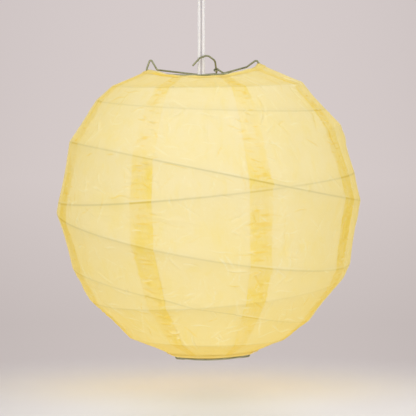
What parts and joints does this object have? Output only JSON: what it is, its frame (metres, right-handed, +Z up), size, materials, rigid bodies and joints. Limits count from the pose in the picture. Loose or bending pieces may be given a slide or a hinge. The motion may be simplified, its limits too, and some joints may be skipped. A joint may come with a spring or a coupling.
{
  "type": "paper lantern pendant",
  "caption": "Round collapsible paper lantern shade with slanting wire hoops on a wire expander, hung on a twin cord with a lamp holder and lamp below a small ceiling rose.",
  "frame": {"origin": "centre of the ceiling rose's back, in the plane of the ceiling, on the cord's axis", "axes": "+Z up into the ceiling, the cord hangs down -Z; +X to the right with the crook of the wire expander in front of the cord; +Y to the back"},
  "size_m": [0.3028, 0.3028, 0.4023],
  "materials": {
    "shade_paper": "translucent matte",
    "hem_paper": "matte, glued double",
    "ring_wire": "plain drawn wire",
    "hoop_wire": "plain drawn wire",
    "expander_wire": "plain drawn wire",
    "cord_sheath": "slightly translucent",
    "copper": "bare copper strand",
    "holder_plastic": "moulded",
    "bush_plastic": "moulded",
    "porcelain": "glazed",
    "screw_steel": "plated",
    "contact_brass": "pressed",
    "lamp_cap_metal": "rolled",
    "lamp_insulator": "dark",
    "lamp_body": "moulded",
    "lamp_diffuser": "frosted",
    "lamp_board": "white coated",
    "led": "phosphor",
    "rose_plastic": "moulded",
    "rose_inner_plastic": "moulded"
  },
  "bodies": {
    "pendant": {"cord": "cord_sheath", "cord_cores_upper": "copper", "cord_cores_lower": "copper", "holder_cap": "holder_plastic", "holder_cord_grip": "bush_plastic", "holder_shell": "holder_plastic", "holder_base": "porcelain", "holder_terminal_screws": "screw_steel", "holder_screw_shell": "contact_brass", "holder_contact": "contact_brass", "rose_base": "rose_plastic", "rose_cord_clamp": "rose_inner_plastic", "rose_clamp_screws": "screw_steel", "rose_terminal_block": "rose_inner_plastic", "rose_terminal_inserts": "contact_brass", "rose_terminal_screws": "screw_steel"},
    "cover": {"rose_cover": "rose_plastic", "rose_cover_bush": "bush_plastic"},
    "lamp": {"lamp_screw_base": "lamp_cap_metal", "lamp_insulator": "lamp_insulator", "lamp_tip_contact": "contact_brass", "lamp_collar": "lamp_body", "lamp_globe": "lamp_diffuser", "lamp_board": "lamp_board", "lamp_leds": "led"},
    "lantern": {"paper_gore_1": "shade_paper", "paper_gore_2": "shade_paper", "paper_gore_3": "shade_paper", "paper_gore_4": "shade_paper", "paper_gore_5": "shade_paper", "paper_gore_6": "shade_paper", "paper_gore_7": "shade_paper", "paper_gore_8": "shade_paper", "top_hem": "hem_paper", "top_ring": "ring_wire", "expander_left_wire": "expander_wire", "expander_right_wire": "expander_wire", "expander_foot": "expander_wire"},
    "bottom": {"bottom_ring": "ring_wire", "bottom_hem": "hem_paper"},
    "hoop_a": {"hoop_a": "hoop_wire"},
    "hoop_b": {"hoop_b": "hoop_wire"},
    "hoop_c": {"hoop_c": "hoop_wire"},
    "hoop_d": {"hoop_d": "hoop_wire"},
    "hoop_e": {"hoop_e": "hoop_wire"},
    "hoop_f": {"hoop_f": "hoop_wire"},
    "hoop_g": {"hoop_g": "hoop_wire"},
    "hoop_h": {"hoop_h": "hoop_wire"}
  },
  "joints": [
    {"name": "lantern_turn", "type": "hinge", "parent": "pendant", "child": "lantern", "pos_m": [0, 0, -0.1166], "axis": [0, 0, 1], "continuous": true},
    {"name": "shade_fold", "type": "slide", "parent": "lantern", "child": "bottom", "axis": [-0.0314, 0, 0.9995], "range_m": [0, 0.2574], "deforming": ["paper_gore_1", "paper_gore_2", "paper_gore_3", "paper_gore_4", "paper_gore_5", "paper_gore_6", "paper_gore_7", "paper_gore_8", "expander_foot"]},
    {"name": "lamp_out", "type": "slide", "parent": "pendant", "child": "lamp", "axis": [0, 0, -1], "range_m": [0, 0.034]},
    {"name": "rose_cover_slide", "type": "slide", "parent": "pendant", "child": "cover", "axis": [0, 0, -1], "range_m": [0, 0.05]},
    {"name": "hoop_a_rise", "type": "hinge", "parent": "lantern", "child": "hoop_a", "pos_m": [-0.35967, 0.36259, -0.13048], "axis": [-0.7068, -0.7071, -0.0222], "range_deg": [0, 1.46]},
    {"name": "hoop_b_rise", "type": "hinge", "parent": "lantern", "child": "hoop_b", "pos_m": [-0.41805, 0.19152, -0.14301], "axis": [-0.4136, -0.9104, -0.013], "range_deg": [0, 3.74]},
    {"name": "hoop_c_rise", "type": "hinge", "parent": "lantern", "child": "hoop_c", "pos_m": [-0.41319, -0.06753, -0.17964], "axis": [0.1596, -0.9872, 0.005], "range_deg": [0, 12.05]},
    {"name": "hoop_d_rise", "type": "hinge", "parent": "lantern", "child": "hoop_d", "pos_m": [1.63073, 0.28293, -0.12909], "axis": [-0.1713, 0.9852, -0.0054], "range_deg": [0, 3.6]},
    {"name": "hoop_e_rise", "type": "hinge", "parent": "lantern", "child": "hoop_e", "pos_m": [-0.73554, 0.26788, -0.22535], "axis": [-0.3397, -0.9405, -0.0107], "range_deg": [0, 10.91]},
    {"name": "hoop_f_rise", "type": "hinge", "parent": "lantern", "child": "hoop_f", "pos_m": [-0.95805, 0.04422, -0.26354], "axis": [-0.0458, -0.999, -0.0014], "range_deg": [0, 12.12]},
    {"name": "hoop_g_rise", "type": "hinge", "parent": "lantern", "child": "hoop_g", "pos_m": [1.64292, 1.71549, -0.17792], "axis": [-0.723, 0.6905, -0.0227], "range_deg": [0, 4.7]},
    {"name": "hoop_h_rise", "type": "slide", "parent": "lantern", "child": "hoop_h", "axis": [-0.0314, 0, 0.9995], "range_m": [0, 0.23808]}
  ],
  "couplings": [
    {"joint": "hoop_a_rise", "follows": "shade_fold", "rad_per_m": 0.098867},
    {"joint": "hoop_b_rise", "follows": "shade_fold", "rad_per_m": 0.253},
    {"joint": "hoop_c_rise", "follows": "shade_fold", "rad_per_m": 0.81547},
    {"joint": "hoop_d_rise", "follows": "shade_fold", "rad_per_m": 0.24362},
    {"joint": "hoop_e_rise", "follows": "shade_fold", "rad_per_m": 0.73852},
    {"joint": "hoop_f_rise", "follows": "shade_fold", "rad_per_m": 0.8199},
    {"joint": "hoop_g_rise", "follows": "shade_fold", "rad_per_m": 0.31805},
    {"joint": "hoop_h_rise", "follows": "shade_fold", "ratio": 0.92308}
  ]
}
